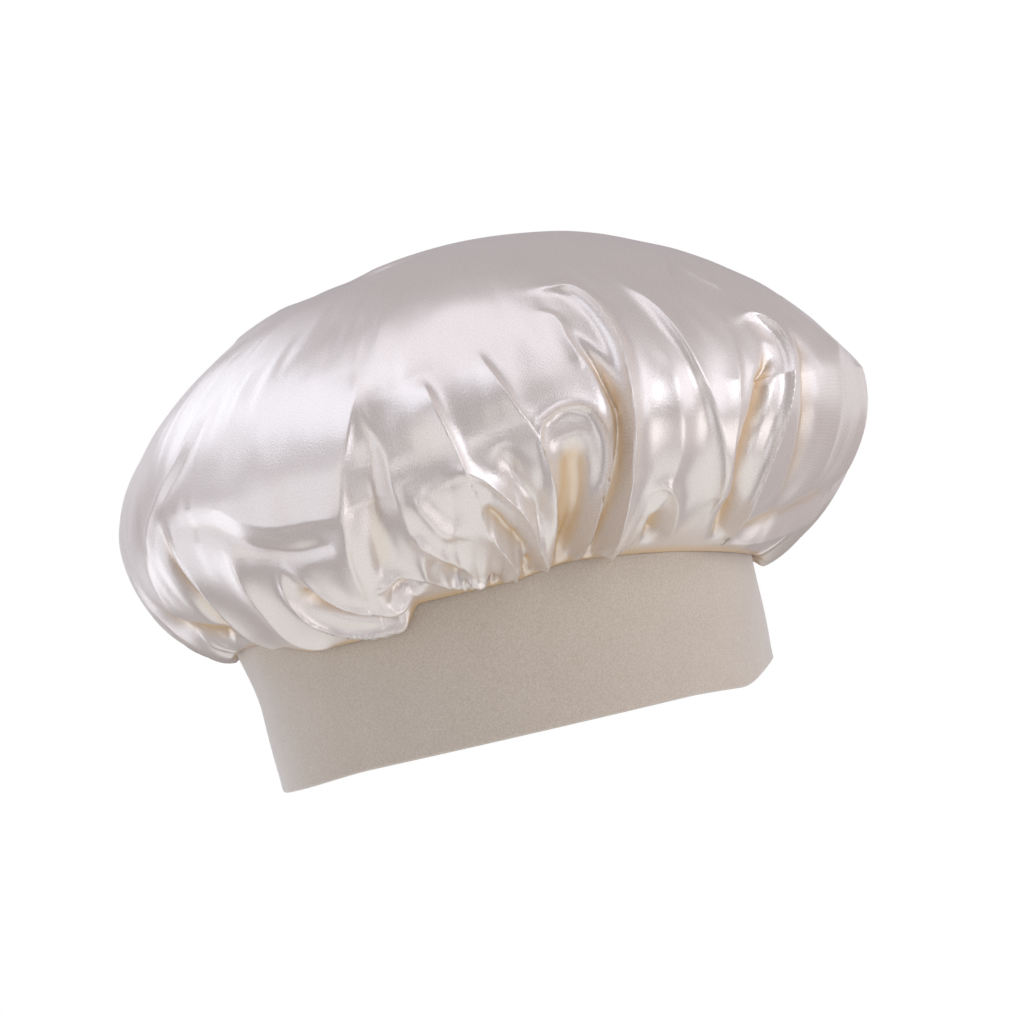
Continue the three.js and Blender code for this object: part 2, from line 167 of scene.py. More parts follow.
# Folds of the photographed side: name, path, height, before, after, crease, lean. A path runs
# through (azimuth, share) places, which began as points picked in the photograph. Height is
# in millimetres, negative for a valley. Before and after are the half widths towards smaller and
# larger azimuths, where the path runs down the crown. Crease is 2 on a round fold and near 1 on a
# sharp one. Lean moves its crest sideways, on such a path towards larger azimuths.
SHOWN_FOLDS = (
    ("nape outer ridge", ((207, 0.7), (204, 0.76), (201, 0.83), (198, 0.93)), 1, 6, 6, 1.5, 0),
    ("nape tuck", ((190, 0.8), (200, 0.88), (208, 0.93)), -4, 13, 13, 2, 0),
    ("nape valley", ((212.5, 0.67), (212.5, 0.76), (213, 0.83), (211.5, 0.91), (214, 0.98)),
     -4, 4.5, 4, 1.6, 0),
    ("nape ridge", ((214.5, 0.67), (217.5, 0.77), (218, 0.86), (216, 0.95), (217, 0.99)),
     3, 3, 8, 1.4, 0),
    ("nape streak", ((220, 0.45), (218, 0.55), (210, 0.66), (207, 0.72)), 0.8, 3.5, 3, 1.3, 0),
    ("nape streak groove", ((222.5, 0.48), (219.5, 0.57), (214, 0.64)), -0.8, 3, 3, 1.4, 0),
    ("soft nape ridge", ((228, 0.73), (228, 0.79), (227.5, 0.86), (227, 0.94), (233, 0.985)),
     3, 5, 8, 1.4, 0),
    ("turning line", ((209, 0.65), (225, 0.675), (232, 0.72), (238, 0.745), (244, 0.75),
      (249, 0.755)),
     1.6, 4, 11, 1.6, 0),
    ("turning shade", ((212, 0.695), (225, 0.72), (232, 0.765), (238, 0.79), (244, 0.795)),
     -1.8, 4, 4, 1.8, 0),
    ("loop outer rim", ((235, 0.806), (233.8, 0.85), (234.6, 0.905), (237.6, 0.945), (242, 0.968),
      (247, 0.978), (250.8, 0.984)),
     4, 3, 2.6, 1.6, 0),
    ("loop upper rim", ((235.2, 0.806), (237.6, 0.824), (239.8, 0.862), (242, 0.893), (246, 0.917),
      (249.5, 0.938), (252, 0.955)),
     3.2, 3, 4.5, 1.5, 0),
    ("loop hollow", ((235.8, 0.84), (237, 0.875), (240.2, 0.915), (245, 0.943), (250, 0.962)),
     -6.5, 3.4, 3.4, 1.8, 0),
    ("small loop outer rim", ((248.3, 0.885), (249.8, 0.925), (252.5, 0.948), (256, 0.962)),
     1.8, 3, 3, 1.6, 0),
    ("small loop upper rim", ((248, 0.89), (251, 0.89), (254, 0.905), (257, 0.928)),
     2.6, 2.8, 4, 1.4, 0),
    ("small loop hollow", ((250, 0.908), (253, 0.925), (256, 0.94)), -3.5, 2.6, 2.6, 1.7, 0),
    ("upright edge", ((252.5, 0.49), (252.4, 0.56), (251.5, 0.63), (250, 0.7), (248.4, 0.77),
      (247, 0.833), (246.5, 0.9)),
     3.4, 17, 5, 1.4, 0.5),
    ("upright shade", ((256, 0.56), (255, 0.65), (253.5, 0.74), (252, 0.83), (251.5, 0.88)),
     -2.2, 5, 8, 1.8, 0),
    ("leaning ridge", ((252.5, 0.5), (254.5, 0.59), (256.3, 0.68), (256.5, 0.762), (257.5, 0.839),
      (260, 0.91)),
     2.2, 5, 8, 1.4, 0),
    ("leaf ridge", ((258.7, 0.745), (259.3, 0.775), (260.4, 0.808), (262, 0.838), (264, 0.856)),
     2.2, 4, 5, 1.7, 0),
    ("leaf hollow", ((261, 0.765), (262.5, 0.8), (264.5, 0.83)), -0.7, 4, 4, 1.8, 0),
    ("lens upper rim", ((257, 0.83), (258.5, 0.849), (261, 0.878), (264.5, 0.921), (267, 0.95)),
     2.8, 3.6, 5, 1.7, 0),
    ("lens hollow", ((258.5, 0.885), (261, 0.915), (263.5, 0.95)), -3.2, 3, 3, 1.7, 0),
    ("lens lower rim", ((257, 0.87), (258, 0.922), (261, 0.955), (265, 0.978)), 3, 3.2, 3, 1.5, 0),
    ("knob", ((263.5, 0.945), (267.5, 0.96)), 4.5, 3.4, 3.4, 1.9, 0),
    ("knob gap", ((268.6, 0.95), (269.6, 0.985)), -5, 2, 2, 1.7, 0),
    ("centre edge", ((262.5, 0.53), (263.7, 0.58), (265, 0.65), (266, 0.715), (266.8, 0.762)),
     3.8, 9, 4, 1.35, 0.5),
    ("knee", ((265.6, 0.735), (268.6, 0.764), (271.5, 0.8), (274.3, 0.848), (276, 0.9),
      (279, 0.965)),
     5, 4, 4, 1.7, 0),
    ("knee hollow", ((268, 0.815), (269.8, 0.845), (272.2, 0.888), (274.9, 0.93), (276.8, 0.985)),
     -5, 2.8, 2.8, 1.8, 0),
    ("knee lower ridge", ((267.5, 0.84), (270, 0.89), (272.8, 0.94), (273.2, 0.975)),
     3.8, 3.4, 3.4, 1.6, 0),
    ("knee gap", ((275.2, 0.945), (276, 0.985)), -4, 2, 2, 1.7, 0),
    ("knee shade", ((271, 0.72), (274, 0.79), (277.5, 0.87)), -2.8, 4, 4, 1.8, 0),
    ("sharp edge", ((271, 0.49), (272.6, 0.55), (274, 0.61), (275.6, 0.68), (277, 0.743),
      (278.2, 0.8), (279.3, 0.868), (280.8, 0.97)),
     4.4, 11, 3.4, 1.3, 1),
    ("arch rim", ((278.6, 0.82), (277.9, 0.77), (277.7, 0.73), (278.3, 0.7), (279.8, 0.678),
      (282, 0.669), (284.4, 0.682), (286.1, 0.723), (286.9, 0.762), (286.8, 0.811), (286.2, 0.861),
      (286.3, 0.923), (287.2, 0.985)),
     4.2, 2.6, 2.6, 2, 0),
    ("arch hollow", ((281.6, 0.73), (282.1, 0.78), (282.4, 0.83), (282.6, 0.9), (284, 0.985)),
     -5.5, 6.5, 5.4, 2.6, 0),
    ("cream valley", ((286, 0.5), (287.8, 0.56), (288.6, 0.62), (289, 0.69), (289, 0.77),
      (288.7, 0.85), (288.8, 0.92), (289.8, 0.985)),
     -6, 2.6, 2.4, 1.8, 0),
    ("great ridge", ((282.5, 0.395), (287, 0.402), (290, 0.42), (291.7, 0.468), (292.2, 0.538),
      (291.3, 0.633), (290.5, 0.749), (290.5, 0.813), (291.5, 0.906), (293.8, 0.985)),
     5.5, 3.6, 7, 1.7, -0.5),
    ("great ridge inner edge", ((282.5, 0.44), (285, 0.47), (285.6, 0.52), (286, 0.57)),
     1.4, 5, 2.6, 1.6, 0),
    ("soft front ridge", ((299.5, 0.52), (299, 0.62), (298.5, 0.72), (298.5, 0.82), (297, 0.95)),
     2, 7, 7, 1.7, 0),
    ("dimple arch", ((294.5, 0.86), (297, 0.842), (300.5, 0.865), (303.5, 0.91), (305, 0.95)),
     2.2, 3.5, 3.5, 1.6, 0),
    ("dimple", ((297.5, 0.885), (300, 0.92), (301.5, 0.955)), -4.5, 4, 4, 1.8, 0),
    ("fine front ridge", ((300.8, 0.41), (302, 0.465), (302.4, 0.56), (303, 0.68), (304, 0.745),
      (306, 0.81), (309, 0.87)),
     3.2, 3.5, 11, 1.4, -0.3),
    ("front valley side", ((312.5, 0.57), (309.3, 0.68), (307.8, 0.764), (308.3, 0.821),
      (312, 0.886)),
     2.6, 7, 3.2, 1.5, 0.5),
    ("deep valley", ((318.3, 0.59), (316.8, 0.65), (313.9, 0.72), (311.7, 0.79), (312.6, 0.861),
      (318.5, 0.945)),
     -6.8, 3.8, 3.8, 1.7, 0),
    ("deep valley ridge", ((314.5, 0.538), (319.3, 0.524), (321.5, 0.55), (322, 0.6), (319.8, 0.7),
      (316.9, 0.785), (317.3, 0.865), (322.3, 0.945)),
     4.6, 3.4, 6, 1.7, -0.3),
    ("forehead step", ((330, 0.54), (328, 0.6), (325, 0.7), (324.5, 0.78), (327, 0.86)),
     -2.5, 3, 9, 1.6, 0),
    ("forehead ridge", ((349, 0.5), (342, 0.59), (336.5, 0.66), (334.5, 0.768), (336, 0.849)),
     1.7, 12, 9, 1.6, 0),
    ("far forehead ridge", ((352, 0.62), (347, 0.7), (347, 0.78), (351, 0.84)), 2, 6, 13, 1.9, 0),
    ("front lobe edge", ((357, 0.855), (352, 0.88), (346, 0.906), (340, 0.926), (333, 0.948),
      (326, 0.965)),
     2.8, 8, 5, 1.8, 0),
    ("tucked valley", ((354, 0.835), (346, 0.86), (338, 0.882), (331, 0.912), (325, 0.94)),
     -2.2, 7, 6, 2, 0),
    ("dent mark", ((323, 0.325), (315, 0.385), (311.5, 0.42)), -1, 2.5, 3, 1.3, 0),
    ("dent mark edge", ((325, 0.33), (318, 0.4), (320, 0.45)), 0.8, 2.5, 4, 1.3, 0),
    ("shoulder flat", ((345, 0.25), (348, 0.38), (350, 0.45)), -1, 20, 20, 2, 0),
    ("shoulder corner", ((334, 0.8), (346, 0.74), (358, 0.71), (372, 0.7)), 2.8, 28, 30, 2, 0),
    ("top dent", ((225, 0.12), (230, 0.19)), -3, 18, 18, 2, 0),
    ("top swell", ((197, 0.19), (192, 0.3)), 2.2, 18, 18, 2, 0),
)

# Valleys are painted with the cream of light bounced between the fold walls, from the first of these depths
# on, and fully at the second.
BOUNCE_TINT_FROM, BOUNCE_TINT_FULL = 0.6, 4.5

# The painted shade that the seam gets, or that it adds to a valley's painted tint.
SEAM_SHADE = 0.9

# How far the folds reach and how wide they are drawn, in half widths of their rows.
FOLD_REACH, FOLD_WIDTH = 2.6, 0.7

# The cloth may sink this far at the seam, and this much further for each whole share above it.
SEAM_DEPTH, DEPTH_GAIN = 0.2, 140

# How far the flanks of a ridge are drawn in under its crest, as a share of its height.
PINCH = 0.24

# Where the drawn folds are, in degrees, and the plain ones of the hidden side.
SHOWN_FROM, SHOWN_TO = 196, 352
PLAIN_FOLDS = 19

# Gathers: how many there are round the crown, the shares where they start and are full, their depth
# and their phase.
GATHERS = (
    (104, 0.9, 0.975, 1.3, 0.0),
    (53, 0.82, 0.94, 1.5, 1.9),
    (31, 0.7, 0.88, 1.6, 4.1),
)

# On the side shown, folds take the gathers' place but for its middle, where this much of them is left.
MIDDLE_GATHERS = 0.47

# The crown's mesh: its first ring, and its rows and columns, which are closer together on the side
# shown and below one share.
COLUMNS_SHOWN, COLUMNS_HIDDEN = 410, 140
ROWS_ABOVE, ROWS_BELOW = 44, 130
FIRST_RING, CLOSER_FROM = 0.005, 0.4


def hidden_folds():
    """Plain ridges and valleys of the hidden side, spread evenly with small wanderings."""
    rng = np.random.default_rng(7)
    start, span = SHOWN_TO - 360, 360 - (SHOWN_TO - SHOWN_FROM)
    folds = []
    for i in range(PLAIN_FOLDS):
        az = start + span * (i + 0.5) / PLAIN_FOLDS + rng.uniform(-2.5, 2.5)
        lean = rng.uniform(-6, 6)
        top = rng.uniform(0.42, 0.6)
        wander = rng.uniform(-3, 3)
        path = (
            (az - lean, top),
            (az - 0.5 * lean + wander, 0.5 * (top + 0.8)),
            (az, 0.82),
            (az + 0.3 * lean, 0.97),
        )
        side = rng.choice((-1, 1))
        wide = rng.uniform(8, 13)
        thin = rng.uniform(3.5, 5.5)
        before, after = (wide, thin) if side > 0 else (thin, wide)
        from_edge = min(az - start, start + span - az)
        calm = 0.12 + 0.88 * float(smooth(8, 32, from_edge))
        high = calm * rng.uniform(4, 7)
        folds.append((f"plain ridge {i + 1}", path, high, before, after, 1.4, -1.5 * side * calm))
        offset = side * rng.uniform(4, 5.5)
        path = tuple((a + offset, s + 0.04 * (1 - s)) for a, s in path)
        folds.append((f"plain valley {i + 1}", path, -calm * rng.uniform(3, 6), 5, 5, 1.8, 0))
        if i % 2:
            path = ((az + 9, 0.72), (az + 9 + wander, 0.84), (az + 8, 0.96))
            folds.append((f"plain small ridge {i + 1}", path, 3 * calm, 4, 4, 1.5, 0))
    return folds


def meridian(share):
    """Millimetres of cloth from the top to a share of the way down, on the side shown."""
    steps = np.linspace(0, 1, 201)
    points = smooth_crown(np.full_like(steps, 270.0), steps)
    lengths = np.concatenate([[0], np.cumsum(np.linalg.norm(np.diff(points, axis=0), axis=1))])
    return np.interp(share, steps, lengths)


def along_path(path, pieces=6):
    """A smooth curve through the places of a path."""
    p = np.array(path, float)
    p = np.vstack([2 * p[0] - p[1], p, 2 * p[-1] - p[-2]])
    out = []
    for i in range(1, len(p) - 2):
        t = np.arange(pieces)[:, None] / pieces
        a, b, c, d = p[i - 1:i + 3]
        out.append(0.5 * (2 * b + (c - a) * t + (2 * a - 5 * b + 4 * c - d) * t ** 2
                          + (3 * b - a - 3 * c + d) * t ** 3))
    out.append(p[-2:-1])
    return np.vstack(out)


def fold_field(azimuth, per_degree, down):
    """Height of all folds, and how far they push the cloth sideways, at each place."""
    height = np.zeros_like(azimuth)
    push_across = np.zeros_like(azimuth)
    push_down = np.zeros_like(azimuth)
    for _, path, high, before, after, crease, lean in list(SHOWN_FOLDS) + hidden_folds():
        line = along_path(path)
        centre = line[:, 0].mean()
        turn = (azimuth - centre + 180) % 360 - 180
        reach = FOLD_REACH * max(before, after)
        near = (np.abs(turn) * per_degree < np.ptp(line[:, 0]) * per_degree + reach)
        near &= (down > meridian(line[:, 1].min()) - reach) & (down < meridian(line[:, 1].max()) + reach)
        t_az, t_down, scale = turn[near], down[near], per_degree[near]
        best = np.full(t_az.shape, 1e9)
        best_side = np.ones_like(best)
        best_along = np.zeros_like(best)
        best_dir = np.zeros(best.shape + (2,))
        line_down = meridian(line[:, 1])
        for i in range(len(line) - 1):
            way_x = (line[i + 1, 0] - line[i, 0]) * scale
            way_y = line_down[i + 1] - line_down[i]
            x = (t_az - (line[i, 0] - centre)) * scale
            y = t_down - line_down[i]
            t = np.clip((x * way_x + y * way_y) / (way_x ** 2 + way_y ** 2), 0, 1)
            off_x, off_y = x - t * way_x, y - t * way_y
            distance = np.hypot(off_x, off_y)
            closer = distance < best
            best = np.where(closer, distance, best)
            side = np.where(way_x * y - way_y * x > 0, 1.0, -1.0)
            best_side = np.where(closer, side, best_side)
            best_along = np.where(closer, (i + t) / (len(line) - 1), best_along)
            length = np.hypot(way_x, way_y)
            across = np.stack([way_y / length, -way_x / length], -1)
            best_dir = np.where(closer[:, None], across, best_dir)
        half = FOLD_WIDTH * np.where(best_side > 0, before, after)
        shape = np.exp(-(best / half) ** crease)
        ends = smooth(-0.05, 0.35, best_along) * (1 - smooth(0.88, 1.12, best_along))
        height[near] += high * ends * shape
        apart = best / half
        inward = PINCH * max(high, 0) * best_side * apart * np.exp(1 - apart)
        sideways = (lean * shape + inward) * ends
        push_across[near] += sideways * best_dir[:, 0]
        push_down[near] += sideways * best_dir[:, 1]
    return height, push_across, push_down


def gathers(azimuth, share):
    """Fine gathers at the seam, which join in pairs on the way up."""
    shown = smooth(SHOWN_FROM - 4, SHOWN_FROM + 6, azimuth)
    shown = shown * (1 - smooth(SHOWN_TO - 6, SHOWN_TO + 4, azimuth))
    middle = smooth(258, 264, azimuth) * (1 - smooth(290, 305, azimuth))
    less = 1 - shown * (1 - MIDDLE_GATHERS * middle)
    turn = np.radians(azimuth)
    total = np.zeros_like(azimuth)
    for count, top, full, depth, phase in GATHERS:
        wander = 0.9 * np.sin(5 * turn + phase) + 0.6 * np.sin(11 * turn + 2.3 * phase)
        wave = np.sin(count * turn + wander * count / 40 + phase + 3 * np.sin(7 * turn + phase))
        ridge = 1 - 2 * np.abs(wave) ** 0.8
        total += -depth * ridge * smooth(top, full, share) * less
    return total


def noise_at(places, shape):
    return np.array([noise.noise(place) for place in places]).reshape(shape)


def crumples(azimuth, share, down):
    """Soft dents on the dome, and long weak streaks down the cloth from the way it was folded."""
    turn = np.radians(azimuth)
    flat = np.stack([down * np.cos(turn), down * np.sin(turn)], -1).reshape(-1, 2)
    wide, narrow = 38, 17
    dents = noise_at([(x / wide, y / wide, 1.7) for x, y in flat], azimuth.shape)
    small = noise_at([(x / narrow, y / narrow, 5.2) for x, y in flat], azimuth.shape)
    around = list(zip(turn.ravel(), down.ravel()))
    broad = noise_at([(12 * math.cos(t), 12 * math.sin(t), d / 60) for t, d in around], azimuth.shape)
    fine = noise_at([(25 * math.cos(t), 25 * math.sin(t), d / 34) for t, d in around], azimuth.shape)
    streaks = broad + 0.5 * fine
    upper = smooth(0.04, 0.25, share)
    dented = (1.3 * dents + 0.35 * small) * upper * (1 - 0.5 * smooth(0.6, 0.8, share))
    return dented + 0.4 * streaks * smooth(0.15, 0.45, share) * (1 - smooth(0.9, 1, share))


def crown_grid():
    shown = np.linspace(SHOWN_FROM, SHOWN_TO, COLUMNS_SHOWN, endpoint=False)
    hidden = np.linspace(SHOWN_TO, SHOWN_FROM + 360, COLUMNS_HIDDEN, endpoint=False)
    azimuths = np.concatenate([shown, hidden]) % 360
    shares = np.concatenate([
        np.linspace(FIRST_RING, CLOSER_FROM, ROWS_ABOVE, endpoint=False),
        np.linspace(CLOSER_FROM, 1, ROWS_BELOW),
    ])
    return np.meshgrid(azimuths, shares)


def crown_surface():
    """The crown's points with all folds, and how strongly each is painted with the cream of bounced light or
    the seam's painted shade.
    """
    azimuth, share = crown_grid()
    base = smooth_crown(azimuth, share)
    centre = BULGE_SHIFT * np.clip(share / BULGE_SHARE, 0, 1)
    per_degree = np.radians(1) * np.maximum(np.hypot(base[..., 0] - centre, base[..., 1]), 1)
    down = meridian(share)
    height, across, lower = fold_field(azimuth, per_degree, down)
    height += gathers(azimuth, share)
    height += crumples(azimuth, share, down)
    settled = 1 - smooth(0.975, 1, share)
    height = np.maximum(height, -SEAM_DEPTH - DEPTH_GAIN * (1 - share)) * settled
    steps = np.linspace(0, 1, 101)
    per_share = np.interp(share, steps, np.gradient(meridian(steps), 0.01))
    az = azimuth + across * settled / per_degree
    sh = np.clip(share + lower * settled / per_share, 0.002, 1)
    points = smooth_crown(az, sh) + normals_of(az, sh) * height[..., None]
    # Painted light: a bounced cream that deepens with each valley, and painted shade along the seam.
    hollow = smooth(BOUNCE_TINT_FROM, BOUNCE_TINT_FULL, -height) * smooth(0.35, 0.45, share)
    hollow = hollow + SEAM_SHADE * smooth(0.97, 0.995, share)
    return azimuth, share, points, hollow


def new_object(name, points, faces, smooth_shade=True):
    mesh = bpy.data.meshes.new(name)
    mesh.from_pydata((np.asarray(points) * MM).tolist(), [], faces)
    mesh.update()
    if smooth_shade:
        mesh.shade_smooth()
    obj = bpy.data.objects.new(name, mesh)
    bpy.context.collection.objects.link(obj)
    return obj


def add_crown():
    azimuth, share, points, hollow = crown_surface()
    rows, columns = share.shape
    seam_rings = []
    tuck = (
        (LIP_GAP * TUCK_OUT, BAND_HEIGHT + SEAM_GAP),
        (-BAND_WALL * TUCK_IN, BAND_HEIGHT + TUCK_RISE),
    )
    for out, height in tuck:
        ring = band_place(azimuth[0], 1.0, out)
        ring[:, 2] = height
        seam_rings.append(ring)
    points = np.concatenate([points, np.array(seam_rings)])
    rows += len(seam_rings)
    top = len(points.reshape(-1, 3))
    flat = np.vstack([points.reshape(-1, 3), smooth_crown(np.array([0.0]), np.array([0.0]))])
    faces = []
    for j in range(rows - 1):
        for i in range(columns):
            k = (i + 1) % columns
            faces.append((j * columns + i, (j + 1) * columns + i, (j + 1) * columns + k, j * columns + k))
    for i in range(columns):
        faces.append((top, i, (i + 1) % columns))
    crown = new_object("crown_satin", flat, faces)
    add_cut(crown, azimuth[0], share[:, 0])
    # Painted shade: the turned-in rings under the lip get the full cream tint.
    deep = np.concatenate([hollow.ravel(), np.ones(len(seam_rings) * columns), [0]])
    crown.data.attributes.new("hollow", "FLOAT", "POINT").data.foreach_set("value", deep)
    return crown


def add_cut(crown, azimuths, shares):
    """Lays each place of the crown on the flat round it was cut from, in metres."""
    radius = np.concatenate([meridian(shares) / meridian(1.0), EDGE_CUTS]) * CLOTH_RADIUS * MM
    turn = np.radians(azimuths)
    cut = np.stack([radius[:, None] * np.cos(turn), radius[:, None] * np.sin(turn)], -1).reshape(-1, 2)
    cut = np.vstack([cut, [[0, 0]]])
    layer = crown.data.uv_layers.new(name="cut")
    corner = np.zeros(len(crown.data.loops), np.int32)
    crown.data.loops.foreach_get("vertex_index", corner)
    layer.data.foreach_set("uv", cut[corner].ravel())


def band_section():
    """Places round the band's wall: out from its middle in millimetres, and share of the way up."""
    half = BAND_WALL / 2
    outer = []
    for i in range(HEM_STEPS):
        angle = -math.pi / 2 + math.pi / 2 * i / HEM_STEPS
        outer.append((half * (1 + HEM_FULLNESS) * math.cos(angle), HEM_SHARE * (1 + math.sin(angle))))
    for i in range(BAND_ROWS + 1):
        up = HEM_SHARE + (1 - HEM_SHARE) * i / BAND_ROWS
        fuller = 1 + HEM_FULLNESS * (1 - smooth(0.0, 0.12, up))
        outer.append((half * float(fuller), up))
    return outer + [(-out, up) for out, up in reversed(outer[1:])]


def add_band():
    columns = BAND_COLUMNS
    azimuth = np.arange(columns) * 360 / columns
    half = BAND_WALL / 2
    section = band_section()
    points = []
    turn = np.radians(azimuth)
    for out, up in section:
        ring = band_place(azimuth, up, out - half)
        wave = 0.35 * np.sin(9 * turn + 3 * up) + 0.25 * np.sin(17 * turn - 5 * up + 1)
        wave = wave * float(smooth(0.5, 1, up)) + 0.4 * np.sin(4 * turn + 6 * up)
        ring[:, 0] += wave * np.cos(turn)
        ring[:, 1] += wave * np.sin(turn)
        points.append(ring)
    count = len(section)
    faces = []
    for j in range(count):
        for i in range(columns):
            k, m = (i + 1) % columns, (j + 1) % count
            faces.append((j * columns + i, j * columns + k, m * columns + k, m * columns + i))
    return new_object("band_jersey", np.vstack(points), faces)


def hex_colour(text):
    """An sRGB hex colour as linear red, green, blue and alpha."""
    values = [int(text[i:i + 2], 16) / 255 for i in (0, 2, 4)]
    return [v / 12.92 if v <= 0.04045 else ((v + 0.055) / 1.055) ** 2.4 for v in values] + [1.0]


def add_node(tree, kind, settings=None, **inputs):
    """One node with its settings and what goes into its sockets: a value or another socket."""
    node = tree.nodes.new(kind)
    for key, value in (settings or {}).items():
        setattr(node, key, value)
    for key, value in inputs.items():
        name = key.replace("_", " ")
        socket = node.inputs[int(key[1:])] if key[0] == "i" and key[1:].isdigit() else node.inputs[name]
        if isinstance(value, bpy.types.NodeSocket):
            tree.links.new(value, socket)
        else:
            socket.default_value = value
    return node


def new_material(name):
    material = bpy.data.materials.new(name)
    material.use_nodes = True
    material.node_tree.nodes.clear()
    return material, material.node_tree


# Colours in sRGB. The satin's cream and ochre stand for light that has bounced between its walls,
# deep in the folds.
SATIN_FACE, SATIN_FACE_PALE = "E3D2C1", "E9DACA"
PAINTED_BOUNCE_CREAM, PAINTED_SEAM_OCHRE = "D6AE6A", "B08A55"
JERSEY_DARK, JERSEY_PALE = "BDAF9D", "D0C5B5"

# The twill, drawn coarser than the real 0.3 mm so that its lines show, in metres, and its slant.
TWILL_STEP = 0.001
TWILL_SLANT = 28
WAVE_PERIOD = 0.314           # the wave texture's own period at a scale of 1


def champagne_satin():
    """Charmeuse, most likely polyester: long floats on its face give broad soft highlights."""
    material, tree = new_material("champagne_satin")
    cut = add_node(tree, "ShaderNodeUVMap", {"uv_map": "cut"})
    turned = add_node(tree, "ShaderNodeMapping", None, Vector=cut.outputs[0],
                      Rotation=(0, 0, math.radians(TWILL_SLANT)))
    lines = add_node(tree, "ShaderNodeTexWave", {"wave_type": "BANDS", "bands_direction": "X"},
                     Vector=turned.outputs[0], Scale=WAVE_PERIOD / TWILL_STEP, Distortion=0.6, Detail=1.0)
    slubs = add_node(tree, "ShaderNodeTexNoise", None, Vector=turned.outputs[0], Scale=1500.0, Detail=1.0)
    grain = add_node(tree, "ShaderNodeMapRange", None, Value=slubs.outputs["Fac"], i1=0.34, i2=0.66)
    weave = add_node(tree, "ShaderNodeMix", {"data_type": "FLOAT"}, i0=0.68, i2=lines.outputs["Fac"],
                     i3=grain.outputs[0])
    bump = add_node(tree, "ShaderNodeBump", None, Strength=0.4, Distance=0.0002, Height=slubs.outputs["Fac"])
    mottle = add_node(tree, "ShaderNodeTexNoise", None, Vector=cut.outputs[0], Scale=35.0, Detail=3.0)
    face = add_node(tree, "ShaderNodeMix", {"data_type": "RGBA"}, i0=mottle.outputs["Fac"],
                    i6=hex_colour(SATIN_FACE), i7=hex_colour(SATIN_FACE_PALE))
    thready = add_node(tree, "ShaderNodeMix", {"data_type": "RGBA", "blend_type": "MULTIPLY"}, i0=0.24,
                       i6=face.outputs[2], i7=weave.outputs[0])
    # Painted light: the cream of light bounced in the valleys, which turns to an ochre painted shade where
    # they meet the seam.
    hollow = add_node(tree, "ShaderNodeAttribute", {"attribute_name": "hollow"})
    bounce_tinted = add_node(tree, "ShaderNodeMix", {"data_type": "RGBA"}, i0=hollow.outputs["Fac"],
                      i6=thready.outputs[2], i7=hex_colour(PAINTED_BOUNCE_CREAM))
    deepest = add_node(tree, "ShaderNodeMapRange", None, Value=hollow.outputs["Fac"], i1=1.0, i2=1.7)
    colour = add_node(tree, "ShaderNodeMix", {"data_type": "RGBA"}, i0=deepest.outputs[0],
                      i6=bounce_tinted.outputs[2], i7=hex_colour(PAINTED_SEAM_OCHRE))
    tangent = add_node(tree, "ShaderNodeTangent", {"direction_type": "UV_MAP", "uv_map": "cut"})
    shader = add_node(tree, "ShaderNodeBsdfPrincipled", None, Base_Color=colour.outputs[2],
                      Roughness=0.3, Metallic=0.0, Normal=bump.outputs[0], Tangent=tangent.outputs[0])
    # The index is far above a fibre's own: it sets how mirror-like the floats look together.
    shader.inputs["IOR"].default_value = 2.6
    shader.inputs["Specular IOR Level"].default_value = 1.0
    shader.inputs["Anisotropic"].default_value = 0.35
    shader.inputs["Sheen Weight"].default_value = 0.1
    shader.inputs["Sheen Roughness"].default_value = 0.4
    out = add_node(tree, "ShaderNodeOutputMaterial")
    tree.links.new(shader.outputs[0], out.inputs["Surface"])
    return material


def beige_jersey():
    """Cotton jersey: matt, with a fine grain that stands for its knit, and a little fuzz."""
    material, tree = new_material("beige_jersey")
    place = add_node(tree, "ShaderNodeTexCoord")
    knit = add_node(tree, "ShaderNodeTexNoise", None, Vector=place.outputs["Object"],
                    Scale=1700.0, Detail=2.0)
    specks = add_node(tree, "ShaderNodeMapRange", None, Value=knit.outputs["Fac"], i1=0.38, i2=0.62)
    broad = add_node(tree, "ShaderNodeTexNoise", None, Vector=place.outputs["Object"], Scale=60.0, Detail=4.0)
    tone = add_node(tree, "ShaderNodeMix", {"data_type": "FLOAT"}, i0=0.35, i2=specks.outputs[0],
                    i3=broad.outputs["Fac"])
    colour = add_node(tree, "ShaderNodeMix", {"data_type": "RGBA"}, i0=tone.outputs[0],
                      i6=hex_colour(JERSEY_DARK), i7=hex_colour(JERSEY_PALE))
    bump = add_node(tree, "ShaderNodeBump", None, Strength=0.3, Distance=0.0003, Height=knit.outputs["Fac"])
    shader = add_node(tree, "ShaderNodeBsdfPrincipled", None, Base_Color=colour.outputs[2],
                      Roughness=0.9, Normal=bump.outputs[0])
    shader.inputs["Sheen Weight"].default_value = 0.8
    shader.inputs["Sheen Roughness"].default_value = 0.5
    shader.inputs["Specular IOR Level"].default_value = 0.2
    out = add_node(tree, "ShaderNodeOutputMaterial")
    tree.links.new(shader.outputs[0], out.inputs["Surface"])
    return material
